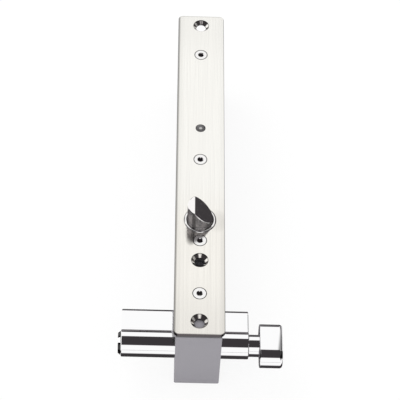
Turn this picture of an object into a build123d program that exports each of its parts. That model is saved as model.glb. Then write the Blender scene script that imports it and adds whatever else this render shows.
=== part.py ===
from build123d import *
import math
import os

# Electric bolt lock. Millimetres. Origin: midpoint of the two end mounting holes on the
# faceplate's seating plane. +Z is the way the bolt comes out, +X points to the thumbturn.

# Faceplate and its holes
PLATE_W, PLATE_L, PLATE_T = 31.6, 265.7, 3.0
PLATE_CORNER_R, PLATE_EDGE_R = 3.0, 0.6
END_HOLE_Y = PLATE_L / 2 - 9.35
MOUNT_HOLE_R, MOUNT_CSK_R = 3.3, 5.45
BOLT_Y = 77.2 - END_HOLE_Y
MID_HOLE_Y = BOLT_Y - 31.5
PLATE_SCREW_Y = (END_HOLE_Y - 27.5, BOLT_Y + 49.6, BOLT_Y - 16.2)
LENS_Y = BOLT_Y + 76.3

# Case
CASE_W, CASE_DEPTH = 28.4, 56.4
HALF = CASE_W / 2
CASE_Y0, CASE_Y1 = 1.65 - PLATE_L / 2, END_HOLE_Y - 10.5
WALL, TOP_WALL, NEAR_END_WALL = 2.0, 3.0, 1.2
CASE_EDGE_R = 1.2
COVER_T, COVER_GAP, NOTCH_W = 1.5, 0.15, 8.0
COVER_X = HALF - COVER_T
POST_R, POST_LOW, POST_HIGH = 3.0, 6.2 - CASE_DEPTH, -7.6
POSTS = ((CASE_Y0 + 5.4, POST_LOW), (BOLT_Y - 41.7, POST_HIGH), (BOLT_Y - 13.7, POST_LOW),
         (BOLT_Y + 36.3, POST_HIGH), (BOLT_Y + 90.3, POST_LOW), (CASE_Y1 - 6.0, POST_LOW),
         (CASE_Y1 - 6.0, POST_HIGH))
SLEEVE_R, SLEEVE_DEPTH = MOUNT_HOLE_R + 1.4, 24.5
POCKET_DEPTH = 1.0

# Fasteners and clearances
M5_R, M5_HEAD_R, M5_CLEAR_R, M5_HEX, M5_LENGTH = 2.5, 4.0, 2.75, 3.0, 10.5
M5_BOSS_R, M5_BOSS_DEPTH = 4.5, 8.2
M3_R, M3_HEAD_R, M3_HEX, M3_LENGTH, M3_PAN_T = 1.5, 2.6, 2.0, 8.0, 1.8
RIM_GROOVE, FACE_GROOVE = 0.35, 0.5
SOCKET_DEPTH, SOCKET_LEAD = 2.4, 0.5
CONTACT = 0.03
RUN = 0.06
GAP = 0.3

# Bolt and what guides it
BOLT_R, BOLT_OUT, BOLT_TRAVEL = 8.25, 15.2, 15.2
BOLT_FLAT_X, BOLT_BEVEL, BOLT_RIM = -3.7, 48.0, 0.35
BOLT_FOOT_Z = -12.6
TAIL_R, TAIL_END_Z = 3.0, -38.5
MAGNET_R, MAGNET_T = 1.5, 3.0
BUSH_R, BUSH_FLANGE_R, BUSH_FLANGE_T, BUSH_PROUD = 9.3, 10.3, 1.8, 0.6
BUSH_RIM_R = 1.1
BUSH_FOOT_Z = -TOP_WALL - 0.8
GUIDE_Z, GUIDE_T, GUIDE_REACH = -34.8, 2.0, 13.0
GUIDE_HALF, GUIDE_SCREW_Y = 8.0, (BOLT_Y - 4.0, BOLT_Y + 4.0)
GUIDE_SCREW_Z = GUIDE_Z - 8.5
SPRING_R, SPRING_WIRE_R, SPRING_TURNS = 5.6, 0.6, 4.5
DRIVE_PIN_R, DRIVE_PIN_Z = 1.5, -9.0

# Release lever, a bell-crank between bolt, plunger and key slide
ARM, LOWER_ARM = 22.0, 13.0
PIVOT_Y, PIVOT_Z = BOLT_Y + ARM, DRIVE_PIN_Z - BOLT_TRAVEL / 2
PIVOT_R, SPACER_R = 2.5, 4.0
LEVER_SWING = math.degrees(math.atan(BOLT_TRAVEL / 2 / ARM))
LEVER_T, LEVER_ARM_R, LOWER_ARM_R = 2.0, 4.5, 3.6
LEVER_X1 = COVER_X - 0.8
LEVER_X0 = LEVER_X1 - LEVER_T
HUB_R, HUB_X0 = 4.5, LEVER_X0 - 7.9
CROSS_PIN_R = 1.5
LINE_Z = PIVOT_Z - LOWER_ARM
PULL = 2 * LOWER_ARM * math.sin(math.radians(LEVER_SWING))
CROSS_Y = PIVOT_Y - PULL / 2
CROSS_Z = PIVOT_Z - LOWER_ARM * math.cos(math.radians(LEVER_SWING))
SLOT_PLAY = 0.35

# Board, and the sensor on its underside that the solenoid clears
BOARD_Z, BOARD_T, BOARD_W = -TOP_WALL - 6.6, 1.6, CASE_W - 5.4
BOARD_LOW = BOARD_Z - BOARD_T
SENSOR_W, SENSOR_L, SENSOR_H = 5.4, 11.0, 4.0

# Solenoid
SOL_W, SOL_T, SOL_LENGTH = CASE_W - 6.4, 2.0, 42.0
SOL_H = 2 * (BOARD_LOW - SENSOR_H - 1.4 - LINE_Z)
SOL_ROOM = SOL_H / 2 - SOL_T
SOL_Y0 = PIVOT_Y + 16.3
SOL_Y1 = SOL_Y0 + SOL_LENGTH
SOL_FOOT_Z = LINE_Z - SOL_H / 2
PLUNGER_R, BORE_R, CORE_R, CORE_NECK_R = 4.5, 4.8, 4.7, 3.0
FORK_GAP = 3.2
COIL_R0, COIL_R1 = BORE_R + 1.1, SOL_ROOM - 0.8
FLANGE_R, FLANGE_T = SOL_ROOM - 0.4, 1.5
PLUNGER_Y0, PLUNGER_Y1 = CROSS_Y - 4.0, SOL_Y0 + 18.0
AIR_GAP = 0.8
SOL_SCREW_Y = (SOL_Y0 + 8.0, SOL_Y0 + 34.0)
SOL_POST_R = 4.0

# Profile cylinder, barrel along X and fin towards +Y
BARREL_R, FIN_T, FIN_END = 8.5, 10.0, 24.5
CYL_Y, CYL_Z = CASE_Y0 + BARREL_R + 1.7, -27.3
CYL_X0, CYL_X1 = -HALF - 33.7, HALF + 17.3
CYL_EDGE, CYL_GAP = 0.4, 0.35
CYL_SCREW_Y = CYL_Y + 18.0
CYL_SCREW_LENGTH = PLATE_T - CYL_Z + FIN_T / 2 - GAP
CAM_SLOT, CAM_SLOT_R = 5.0, 14.5
PLUG_R, PLUG_X1 = 6.2, -CAM_SLOT - 0.2
PLUG_HEAD_R, PLUG_FACE_R, PLUG_FACE_X = 7.5, 6.3, CYL_X0 - 1.9
KEYWAY_W, KEYWAY_LOW, KEYWAY_TOP, KEYWAY_DEPTH = 2.4, -3.6, 4.4, 34.0
NECK_R, NECK_X1 = 6.9, CYL_X1 + 6.8
STEM_R = 4.0
KNOB_T, KNOB_L, KNOB_W = 14.3, 29.5, 15.0
KNOB_INNER_R, KNOB_OUTER_R = 0.6, 1.8
KNOB_X1 = NECK_X1 + KNOB_T
GRUB_R, GRUB_X, GRUB_SINK = 1.5, NECK_X1 + 5.0, 0.6
CAM_HALF, CAM_HUB_R, CAM_REACH, CAM_TIP_R = 4.6, 8.0, 12.0, 3.5
CAM_START = math.degrees(math.asin(PULL / 2 / CAM_REACH))
SQUARE = 6.0
PIN_X = tuple(CYL_X0 + 5.9 + 5.0 * i for i in range(5))
PIN_R, PIN_BORE_R, PIN_END = 1.35, 1.45, FIN_END - 1.5
KEY_PIN_FOOT, DRIVER_END = 1.0, 12.5

# Key slide
SLIDE_T = 2.0
SLIDE_X0 = WALL - HALF + 1.2
SLIDE_X1 = SLIDE_X0 + SLIDE_T
SLIDE_CORNER_R = 1.2
LUG_Y0 = CYL_Y - PULL / 2 + CAM_TIP_R + 0.5
LUG_T, LUG_X1, LUG_Z = 3.0, CAM_HALF - 0.2, (-42.0, -38.7)
SLIDE_LOW = (-43.4, CYL_Z - BARREL_R - 0.7)
SLIDE_HIGH = (LINE_Z - 3.6, LINE_Z + 3.6)
LINK_Y = (CYL_Y + FIN_END + 2.5, CYL_Y + FIN_END + 12.5)
SLIDE_END = CROSS_Y + 4.2
STUDS = ((CYL_Y + 17.0, -39.95), (BOLT_Y - 19.7, LINE_Z))
STUD_R, STUD_HEAD_R, STUD_HEAD_T = 2.0, 3.2, 0.9

# Board's ends and what it carries on its underside
BOARD_Y0, BOARD_Y1 = LENS_Y - 12.0, CASE_Y1 - 13.0
BOARD_SCREWS = tuple((x * (BOARD_W / 2 - 2.3), y) for x in (-1, 1)
                     for y in (BOARD_Y0 + 2.8, BOARD_Y1 - 2.8))
BOARD_POST_R, BOARD_SCREW_R, BOARD_HEAD_R, BOARD_HEAD_T = 2.3, 1.25, 2.2, 1.4
LENS_R, LENS_PROUD, LENS_RIM, LENS_FLANGE_R, LENS_FLANGE_T = 3.3, 1.7, 0.3, 4.4, 1.2
LED_R, LED_BASE_R, LED_TOP_Z = 2.5, 2.9, 0.6
TERMINAL_W, TERMINAL_L, TERMINAL_H, TERMINAL_PITCH = 18.0, 8.0, 10.0, 4.4
RELAY_L, RELAY_H, RELAY_Y0 = 19.0, 15.0, SOL_Y1 + 3.6
CAP_R, CAP_H, CAP_Y = 3.8, 13.0, SOL_Y1 + 12.0
CHIP_W, CHIP_T, CHIP_Y = 8.0, 1.6, BOARD_Y0 + 9.0
CHIP_X = BOARD_SCREWS[0][0] + BOARD_HEAD_R + 0.9
SENSOR_Y0 = BOARD_Y0 + 8.0
GLAND_R, GLAND_LIP, GLAND_LIP_T, GLAND_BORE_R = 5.0, 1.5, 1.5, 3.0
GLAND_Z = POST_LOW + POST_R + GLAND_R + GLAND_LIP + 1.1


def box(x0, x1, y0, y1, z0, z1):
    middle = ((x0 + x1) / 2, (y0 + y1) / 2, (z0 + z1) / 2)
    return Pos(*middle) * Box(x1 - x0, y1 - y0, z1 - z0)


def rod_z(r, x, y, z0, z1):
    return Pos(x, y, (z0 + z1) / 2) * Cylinder(r, z1 - z0)


def rod_x(r, y, z, x0, x1):
    return Pos((x0 + x1) / 2, y, z) * Rot(0, 90, 0) * Cylinder(r, x1 - x0)


def rod_y(r, x, z, y0, y1):
    return Pos(x, (y0 + y1) / 2, z) * Rot(90, 0, 0) * Cylinder(r, y1 - y0)


def cone_z(r0, r1, x, y, z0, z1):
    return Pos(x, y, (z0 + z1) / 2) * Cone(r0, r1, z1 - z0)


def cone_x(r0, r1, y, z, x0, x1):
    return Pos((x0 + x1) / 2, y, z) * Rot(0, 90, 0) * Cone(r0, r1, x1 - x0)


def hex_z(across, x, y, z0, z1):
    return Pos(x, y, z0) * extrude(RegularPolygon(across / math.sqrt(3), 6), z1 - z0)


def hull_x(r, a, b, x0, x1):
    """Bar with round ends from point a to point b in the YZ plane."""
    length = math.dist(a, b)
    turn = math.degrees(math.atan2(b[1] - a[1], b[0] - a[0]))
    bar = Rot(turn, 0, 0) * box(x0, x1, 0, length, -r, r)
    return Pos(0, a[0], a[1]) * bar + rod_x(r, *a, x0, x1) + rod_x(r, *b, x0, x1)


def csk(x, y, top, head_r, hole_r):
    depth = head_r - hole_r
    return cone_z(hole_r, head_r, x, y, top - depth, top)


def csk_screw(length, head_r, r, across, groove=RIM_GROOVE):
    """Countersunk socket screw down from z = 0, its rim standing clear of the hole's mouth."""
    shank, lead = r - CONTACT, SOCKET_LEAD * across / M5_HEX
    neck = groove + head_r - shank
    body = rod_z(head_r, 0, 0, -groove, 0)
    body += cone_z(shank, head_r, 0, 0, -neck, -groove)
    body += rod_z(shank, 0, 0, -length, -neck + groove)
    body -= cone_z(across / 2, across / 2 + lead, 0, 0, -lead, 0)
    return body - hex_z(across, 0, 0, -SOCKET_DEPTH * across / M5_HEX, 1)


def profile(grow, x0, x1):
    """Profile cylinder section: round barrel with a straight round-ended fin."""
    half = FIN_T / 2 + grow
    tip = CYL_Y + FIN_END - FIN_T / 2
    body = rod_x(BARREL_R + grow, CYL_Y, CYL_Z, x0, x1)
    body += box(x0, x1, CYL_Y, tip, CYL_Z - half, CYL_Z + half)
    return body + rod_x(half, tip, CYL_Z, x0, x1)


def faceplate():
    plate = extrude(RectangleRounded(PLATE_W, PLATE_L, PLATE_CORNER_R), PLATE_T)
    plate = fillet(plate.faces().sort_by(Axis.Z)[-1].edges(), PLATE_EDGE_R)
    over = PLATE_T + 1
    for y in (END_HOLE_Y, MID_HOLE_Y, -END_HOLE_Y):
        plate -= rod_z(MOUNT_HOLE_R, 0, y, -1, over)
        plate -= csk(0, y, PLATE_T, MOUNT_CSK_R, MOUNT_HOLE_R)
    for y in (*PLATE_SCREW_Y, CYL_SCREW_Y):
        plate -= rod_z(M5_CLEAR_R, 0, y, -1, over)
        plate -= csk(0, y, PLATE_T, M5_HEAD_R + FACE_GROOVE, M5_R)
    plate -= rod_z(LENS_R + CONTACT, 0, LENS_Y, -1, over)
    plate -= rod_z(BUSH_R + CONTACT, 0, BOLT_Y, -1, over)
    recess = PLATE_T + BUSH_PROUD - BUSH_FLANGE_T
    return plate - rod_z(BUSH_FLANGE_R + CONTACT, 0, BOLT_Y, recess, over)


def case_shell():
    floor = -CASE_DEPTH
    shell = box(-HALF, HALF, CASE_Y0, CASE_Y1, floor, 0)
    shell = fillet(shell.edges().filter_by(Axis.Y).group_by(Axis.Z)[0], CASE_EDGE_R)
    return shell - box(WALL - HALF, HALF + 1, CASE_Y0 + NEAR_END_WALL, CASE_Y1 - WALL,
                       floor + WALL, -TOP_WALL)


def case_body():
    case = case_shell()
    floor, root, under = -CASE_DEPTH, 0.5 - TOP_WALL, -TOP_WALL - 1
    for y, z in POSTS:
        case += rod_x(POST_R, y, z, WALL - HALF - 0.5, COVER_X)
        case -= rod_x(M3_R, y, z, COVER_X - M3_LENGTH - 1, HALF)
    for y in PLATE_SCREW_Y:
        case += rod_z(M5_BOSS_R, 0, y, -M5_BOSS_DEPTH, root)
        case -= rod_z(M5_R, 0, y, -M5_BOSS_DEPTH - 1, 1)
    for x, y in BOARD_SCREWS:
        case += rod_z(BOARD_POST_R, x, y, BOARD_Z, root)
        case -= rod_z(BOARD_SCREW_R, x, y, BOARD_Z - 1, BOARD_Z / 2)
    for y in SOL_SCREW_Y:
        case += rod_z(SOL_POST_R, 0, y, floor + 0.5, SOL_FOOT_Z)
        case -= rod_z(M3_R, 0, y, floor - 1, LINE_Z)
        case -= Pos(0, y, floor) * Rot(180, 0, 0) * csk(0, 0, 0, M3_HEAD_R + RIM_GROOVE, M3_R)
    # Blind sleeve that takes the middle fixing screw
    case += rod_z(SLEEVE_R, 0, MID_HOLE_Y, -SLEEVE_DEPTH - WALL, root)
    case -= rod_z(MOUNT_HOLE_R, 0, MID_HOLE_Y, -SLEEVE_DEPTH, 1)
    case -= rod_z(MOUNT_HOLE_R, 0, -END_HOLE_Y, -POCKET_DEPTH, 1)
    case -= rod_z(M5_CLEAR_R, 0, CYL_SCREW_Y, under, 1)
    case -= rod_z(BUSH_R + CONTACT, 0, BOLT_Y, under, 1)
    case -= rod_z(LENS_R + CONTACT, 0, LENS_Y, under, 1)
    case -= rod_y(GLAND_R + CONTACT, 0, GLAND_Z, CASE_Y1 - WALL - 1, CASE_Y1 + 1)
    side = (-HALF - 1, WALL - HALF + 1)
    case -= profile(CYL_GAP, *side)
    case -= rod_x(PIVOT_R, PIVOT_Y, PIVOT_Z, *side)
    for y, z in STUDS:
        case -= rod_x(STUD_R, y, z, *side)
    for y in GUIDE_SCREW_Y:
        case -= rod_x(M3_R, y, GUIDE_SCREW_Z, *side)
    return case


def case_cover():
    y0, y1 = CASE_Y0 + NEAR_END_WALL + COVER_GAP, CASE_Y1 - WALL - COVER_GAP
    z0, z1 = WALL - CASE_DEPTH + COVER_GAP, -TOP_WALL - COVER_GAP
    through = (COVER_X - 1, HALF + 1)
    cover = box(COVER_X, HALF, y0, y1, z0, z1)
    cover -= profile(CYL_GAP, *through)
    # The cylinder's cut-out is open to the cover's end
    notch = NOTCH_W / 2
    cover -= box(*through, y0 - 1, CYL_Y - BARREL_R / 2, CYL_Z - notch, CYL_Z + notch)
    cover -= rod_x(PIVOT_R, PIVOT_Y, PIVOT_Z, *through)
    for y, z in POSTS:
        cover -= rod_x(M3_R, y, z, *through)
        mouth = csk(0, 0, 0, M3_HEAD_R + RIM_GROOVE, M3_R)
        cover -= Pos(HALF, y, z) * Rot(0, 90, 0) * mouth
    return cover


def cover_screws():
    screw = Rot(0, 90, 0) * csk_screw(M3_LENGTH, M3_HEAD_R, M3_R, M3_HEX)
    return Compound([Pos(HALF, y, z) * screw for y, z in POSTS])


def faceplate_screws():
    screw = csk_screw(M5_LENGTH, M5_HEAD_R, M5_R, M5_HEX, FACE_GROOVE)
    return Compound([Pos(0, y, PLATE_T) * screw for y in PLATE_SCREW_Y])


def cylinder_screw():
    screw = csk_screw(CYL_SCREW_LENGTH, M5_HEAD_R, M5_R, M5_HEX, FACE_GROOVE)
    return Pos(0, CYL_SCREW_Y, PLATE_T) * screw


def bolt_bush():
    top = PLATE_T + BUSH_PROUD
    under = top - BUSH_FLANGE_T
    bush = rod_z(BUSH_FLANGE_R, 0, BOLT_Y, under, top)
    bush = fillet(bush.edges().group_by(Axis.Z)[-1], BUSH_RIM_R)
    bush += rod_z(BUSH_R, 0, BOLT_Y, BUSH_FOOT_Z, under)
    bush -= rod_z(BOLT_R + RUN, 0, BOLT_Y, BUSH_FOOT_Z - 1, top + 1)
    lead = BUSH_PROUD - RUN
    return bush - cone_z(BOLT_R + RUN, BOLT_R + RUN + lead, 0, BOLT_Y, top - lead, top)


def bolt():
    tip = PLATE_T + BOLT_OUT
    body = rod_z(BOLT_R, 0, BOLT_Y, BOLT_FOOT_Z, tip)
    reach = 3 * BOLT_R
    wedge = box(0, reach, -BOLT_R - 1, BOLT_R + 1, 0, reach)
    body -= Pos(BOLT_FLAT_X, BOLT_Y, tip) * Rot(0, BOLT_BEVEL, 0) * wedge
    rim = [e for e in body.edges() if e.center().Z > PLATE_T and e.geom_type != GeomType.LINE]
    body = chamfer(rim, BOLT_RIM)
    body += rod_z(TAIL_R, 0, BOLT_Y, TAIL_END_Z, BOLT_FOOT_Z + 0.5)
    body -= rod_z(MAGNET_R, 0, BOLT_Y, TAIL_END_Z - 1, TAIL_END_Z + MAGNET_T)
    return body - rod_x(DRIVE_PIN_R, BOLT_Y, DRIVE_PIN_Z, -BOLT_R - 1, BOLT_R + 1)


def bolt_magnet():
    return rod_z(MAGNET_R - CONTACT, 0, BOLT_Y, TAIL_END_Z, TAIL_END_Z + MAGNET_T)


def drive_pin():
    return rod_x(DRIVE_PIN_R - CONTACT, BOLT_Y, DRIVE_PIN_Z, 0.4 - BOLT_R, LEVER_X1 + GAP)


def bolt_spring():
    z0, z1 = GUIDE_Z + SPRING_WIRE_R, BOLT_FOOT_Z - SPRING_WIRE_R
    path = Helix((z1 - z0) / SPRING_TURNS, z1 - z0, SPRING_R)
    section = Plane(origin=path @ 0, z_dir=path % 0) * RegularPolygon(SPRING_WIRE_R, 6)
    coil = Pos(0, BOLT_Y, z0) * sweep(section, path=path, is_frenet=True)
    # Closed end rings sit flat on the guide and under the bolt
    for z in (z0, z1):
        ring = Cylinder(SPRING_R + SPRING_WIRE_R, 2 * SPRING_WIRE_R)
        ring -= Cylinder(SPRING_R - SPRING_WIRE_R, 4 * SPRING_WIRE_R)
        coil += Pos(0, BOLT_Y, z) * ring
    return coil


def guide_bracket():
    wall = WALL - HALF
    y0, y1 = BOLT_Y - GUIDE_HALF, BOLT_Y + GUIDE_HALF
    bracket = box(wall, GUIDE_HALF + 0.5, y0, y1, GUIDE_Z - GUIDE_T, GUIDE_Z)
    bracket += box(wall, wall + GUIDE_T, y0, y1, GUIDE_Z - GUIDE_REACH, GUIDE_Z)
    bracket -= rod_z(TAIL_R + RUN, 0, BOLT_Y, GUIDE_Z - GUIDE_T - 1, GUIDE_Z + 1)
    for y in GUIDE_SCREW_Y:
        bracket -= rod_x(M3_R, y, GUIDE_SCREW_Z, wall - 1, wall + GUIDE_T + 1)
    return bracket


def bracket_screws():
    face = WALL - HALF + GUIDE_T
    top = face + M3_PAN_T
    screw = rod_x(M3_R - CONTACT, 0, GUIDE_SCREW_Z, -HALF, face + GAP)
    screw += rod_x(M3_HEAD_R, 0, GUIDE_SCREW_Z, face, top)
    screw -= rod_x(M3_HEX / 2, 0, GUIDE_SCREW_Z, face + M3_PAN_T / 2, top + 1)
    return Compound([Pos(0, y, 0) * screw for y in GUIDE_SCREW_Y])


def release_lever():
    over = (LEVER_X0 - 1, LEVER_X1 + 1)
    far = ARM / math.cos(math.radians(LEVER_SWING))
    arm = hull_x(LEVER_ARM_R, (0, 0), (-(ARM + far) / 2, 0), LEVER_X0, LEVER_X1)
    arm -= hull_x(DRIVE_PIN_R + SLOT_PLAY, (-far - 0.2, 0), (0.2 - ARM, 0), *over)
    down = hull_x(LOWER_ARM_R, (0, 0), (0, -LOWER_ARM), LEVER_X0, LEVER_X1)
    lever = Pos(0, PIVOT_Y, PIVOT_Z) * Rot(-LEVER_SWING, 0, 0) * (arm + down)
    lever += rod_x(HUB_R, PIVOT_Y, PIVOT_Z, HUB_X0, LEVER_X1)
    lever -= rod_x(PIVOT_R + RUN, PIVOT_Y, PIVOT_Z, HUB_X0 - 1, LEVER_X1 + 1)
    return lever - rod_x(CROSS_PIN_R, CROSS_Y, CROSS_Z, *over)


def lever_cross_pin():
    return rod_x(CROSS_PIN_R - CONTACT, CROSS_Y, CROSS_Z, SLIDE_X0 - 0.4, LEVER_X1)


def pivot_pin():
    pin = rod_x(PIVOT_R - CONTACT, PIVOT_Y, PIVOT_Z, -HALF, HALF)
    return pin + rod_x(SPACER_R, PIVOT_Y, PIVOT_Z, WALL - HALF, HUB_X0 - GAP)


def solenoid_frame():
    x, z1 = SOL_W / 2, LINE_Z + SOL_H / 2
    frame = box(-x, x, SOL_Y0, SOL_Y1, SOL_FOOT_Z, z1)
    frame -= box(-x - 1, x + 1, SOL_Y0 + SOL_T, SOL_Y1 - SOL_T, SOL_FOOT_Z + SOL_T, z1 - SOL_T)
    frame -= rod_y(PLUNGER_R + GAP, 0, LINE_Z, SOL_Y0 - 1, SOL_Y0 + SOL_T + 1)
    frame -= rod_y(CORE_NECK_R, 0, LINE_Z, SOL_Y1 - SOL_T - 1, SOL_Y1 + 1)
    for y in SOL_SCREW_Y:
        frame -= rod_z(M3_R, 0, y, SOL_FOOT_Z - 1, SOL_FOOT_Z + SOL_T + 1)
    return frame


def solenoid_bobbin():
    y0, y1 = SOL_Y0 + SOL_T, SOL_Y1 - SOL_T
    bobbin = rod_y(COIL_R0 - CONTACT, 0, LINE_Z, y0, y1)
    bobbin += rod_y(FLANGE_R, 0, LINE_Z, y0, y0 + FLANGE_T)
    bobbin += rod_y(FLANGE_R, 0, LINE_Z, y1 - FLANGE_T, y1)
    return bobbin - rod_y(BORE_R, 0, LINE_Z, y0 - 1, y1 + 1)


def solenoid_coil():
    y0, y1 = SOL_Y0 + SOL_T + FLANGE_T, SOL_Y1 - SOL_T - FLANGE_T
    return rod_y(COIL_R1, 0, LINE_Z, y0, y1) - rod_y(COIL_R0, 0, LINE_Z, y0 - 1, y1 + 1)


def solenoid_core():
    core = rod_y(CORE_R, 0, LINE_Z, PLUNGER_Y1 + PULL + AIR_GAP, SOL_Y1 - SOL_T)
    return core + rod_y(CORE_NECK_R - CONTACT, 0, LINE_Z, SOL_Y1 - SOL_T - 0.5, SOL_Y1 + 1)


def link_slot(x0, x1):
    """Upright slot round the lever's cross pin, which rises and falls as it swings."""
    slot = CROSS_PIN_R + SLOT_PLAY
    return hull_x(slot, (CROSS_Y, LINE_Z - 0.2), (CROSS_Y, CROSS_Z + 0.2), x0, x1)


def solenoid_plunger():
    body = rod_y(PLUNGER_R, 0, LINE_Z, PLUNGER_Y0, PLUNGER_Y1)
    fork = FORK_GAP / 2
    tall = PLUNGER_R + 1
    body -= box(-fork, fork, PLUNGER_Y0 - 1, CROSS_Y + 5, LINE_Z - tall, LINE_Z + tall)
    return body - link_slot(-tall, tall)


def solenoid_screws():
    length = CASE_DEPTH + SOL_FOOT_Z + SOL_T
    screw = Rot(180, 0, 0) * csk_screw(length, M3_HEAD_R, M3_R, M3_HEX)
    return Compound([Pos(0, y, -CASE_DEPTH) * screw for y in SOL_SCREW_Y])


def key_slide():
    x0, x1 = SLIDE_X0, SLIDE_X1
    slide = box(x0, x1, LUG_Y0, LINK_Y[1], *SLIDE_LOW)
    slide += box(x0, x1, LINK_Y[0], SLIDE_END, *SLIDE_HIGH)
    slide += box(x0, x1, *LINK_Y, SLIDE_LOW[0], SLIDE_HIGH[1])
    slide = fillet(slide.edges().filter_by(Axis.X), SLIDE_CORNER_R)
    slide += box(x1 - 0.5, LUG_X1, LUG_Y0, LUG_Y0 + LUG_T, *LUG_Z)
    for y, z in STUDS:
        slide -= hull_x(STUD_R + GAP, (y - PULL - 0.2, z), (y + 0.2, z), x0 - 1, x1 + 1)
    return slide - link_slot(x0 - 1, x1 + 1)


def slide_studs():
    wall, head = WALL - HALF, SLIDE_X1 + GAP
    stud = rod_x(STUD_R - CONTACT, 0, 0, -HALF, head + STUD_HEAD_T / 2)
    stud += rod_x(STUD_HEAD_R, 0, 0, wall, SLIDE_X0 - GAP)
    stud += rod_x(STUD_HEAD_R, 0, 0, head, head + STUD_HEAD_T)
    return Compound([Pos(0, y, z) * stud for y, z in STUDS])


def euro_cylinder():
    body = profile(0, CYL_X0, CYL_X1)
    body = chamfer(body.faces().filter_by(Axis.X).edges(), CYL_EDGE)
    reach = BARREL_R + 3
    body -= box(-CAM_SLOT, CAM_SLOT, CYL_Y - reach, CYL_Y + CAM_SLOT_R,
                CYL_Z - reach, CYL_Z + reach)
    body -= rod_x(PLUG_R + RUN, CYL_Y, CYL_Z, CYL_X0 - 1, 1 - CAM_SLOT)
    body -= rod_x(PLUG_R + RUN, CYL_Y, CYL_Z, CAM_SLOT - 1, CYL_X1 + 1)
    body -= rod_z(M5_R, 0, CYL_SCREW_Y, CYL_Z - FIN_T, CYL_Z + FIN_T)
    for x in PIN_X:
        body -= rod_y(PIN_BORE_R, x, CYL_Z, CYL_Y + 3, CYL_Y + PIN_END)
    return body


def key_plug():
    plug = rod_x(PLUG_R, CYL_Y, CYL_Z, CYL_X0 - GAP - 0.5, PLUG_X1)
    plug += cone_x(PLUG_FACE_R, PLUG_HEAD_R, CYL_Y, CYL_Z, PLUG_FACE_X, CYL_X0 - GAP)
    y0, y1 = CYL_Y + KEYWAY_LOW, CYL_Y + KEYWAY_TOP
    z0, z1 = CYL_Z - KEYWAY_W / 2, CYL_Z + KEYWAY_W / 2
    deep = (PLUG_FACE_X - 1, PLUG_FACE_X + KEYWAY_DEPTH)
    plug -= box(*deep, y0, y1, z0, z1)
    # Side grooves of the keyway
    groove = KEYWAY_W * 0.3
    plug -= box(*deep, CYL_Y - 1.4, CYL_Y + 0.4, z0 - groove, z1)
    plug -= box(*deep, y0, y0 + 1, z0, z1 + groove)
    for x in PIN_X:
        plug -= rod_y(PIN_BORE_R, x, CYL_Z, CYL_Y + KEY_PIN_FOOT / 2, CYL_Y + PLUG_R + 1)
    return plug


def pins(r, y0, y1):
    return [rod_y(r, x, CYL_Z, CYL_Y + y0, CYL_Y + y1) for x in PIN_X]


def key_pins():
    return Compound(pins(PIN_R, KEY_PIN_FOOT, PLUG_R - GAP))


def driver_pins():
    return Compound(pins(PIN_R, PLUG_R + GAP, DRIVER_END))


def pin_springs():
    """Short tubes in place of the pins' small coil springs."""
    outer, inner = pins(PIN_R - 0.1, DRIVER_END, PIN_END), pins(PIN_R - 0.5, 0, FIN_END)
    return Compound([a - b for a, b in zip(outer, inner)])


def square(x0, x1, side):
    return box(x0, x1, CYL_Y - side / 2, CYL_Y + side / 2, CYL_Z - side / 2, CYL_Z + side / 2)


def cylinder_cam():
    tip = (CYL_Y - PULL / 2, CYL_Z - CAM_REACH * math.cos(math.radians(CAM_START)))
    cam = rod_x(CAM_HUB_R, CYL_Y, CYL_Z, -CAM_HALF, CAM_HALF)
    cam += hull_x(CAM_TIP_R, (CYL_Y, CYL_Z), tip, -CAM_HALF, CAM_HALF)
    return cam - square(1 - CAM_HALF, 1 + CAM_HALF, SQUARE)


def thumbturn_spindle():
    spindle = rod_x(PLUG_R, CYL_Y, CYL_Z, CAM_SLOT + 0.2, CYL_X1 + GAP + 0.5)
    spindle += rod_x(NECK_R, CYL_Y, CYL_Z, CYL_X1 + GAP, NECK_X1)
    spindle += square(1.1 - CAM_HALF, CAM_SLOT + 1, SQUARE - 2 * CONTACT)
    return spindle + rod_x(STEM_R, CYL_Y, CYL_Z, NECK_X1 - 0.5, KNOB_X1 - STEM_R)


def thumbturn_knob():
    knob = extrude(SlotOverall(KNOB_L, KNOB_W), KNOB_T)
    knob = fillet(knob.faces().sort_by(Axis.Z)[0].edges(), KNOB_INNER_R)
    knob = fillet(knob.faces().sort_by(Axis.Z)[-1].edges(), KNOB_OUTER_R)
    knob = Pos(NECK_X1, CYL_Y, CYL_Z) * Rot(0, 90, 0) * Rot(0, 0, 90) * knob
    knob -= rod_x(STEM_R + CONTACT, CYL_Y, CYL_Z, NECK_X1 - 1, KNOB_X1 - STEM_R)
    return knob - rod_z(GRUB_R, GRUB_X, CYL_Y, CYL_Z - KNOB_W, CYL_Z - STEM_R + 0.1)


def knob_screw():
    z0, z1 = CYL_Z - KNOB_W / 2 + GRUB_SINK, CYL_Z - STEM_R - CONTACT
    screw = rod_z(GRUB_R - CONTACT, GRUB_X, CYL_Y, z0, z1)
    return screw - hex_z(GRUB_R, GRUB_X, CYL_Y, z0 - 1, z0 + GRUB_R)


def control_board():
    x = BOARD_W / 2
    board = box(-x, x, BOARD_Y0, BOARD_Y1, BOARD_LOW, BOARD_Z)
    for sx, sy in BOARD_SCREWS:
        board -= rod_z(BOARD_SCREW_R + 0.1, sx, sy, BOARD_LOW - 1, BOARD_Z + 1)
    return board


def board_screws():
    shank = rod_z(BOARD_SCREW_R - CONTACT, 0, 0, BOARD_LOW - 0.5, BOARD_Z + 3.5)
    screw = shank + rod_z(BOARD_HEAD_R, 0, 0, BOARD_LOW - BOARD_HEAD_T, BOARD_LOW)
    screw -= rod_z(BOARD_HEAD_R / 3, 0, 0, BOARD_LOW - 3, BOARD_LOW - BOARD_HEAD_T / 2)
    return Compound([Pos(x, y, 0) * screw for x, y in BOARD_SCREWS])


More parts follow.
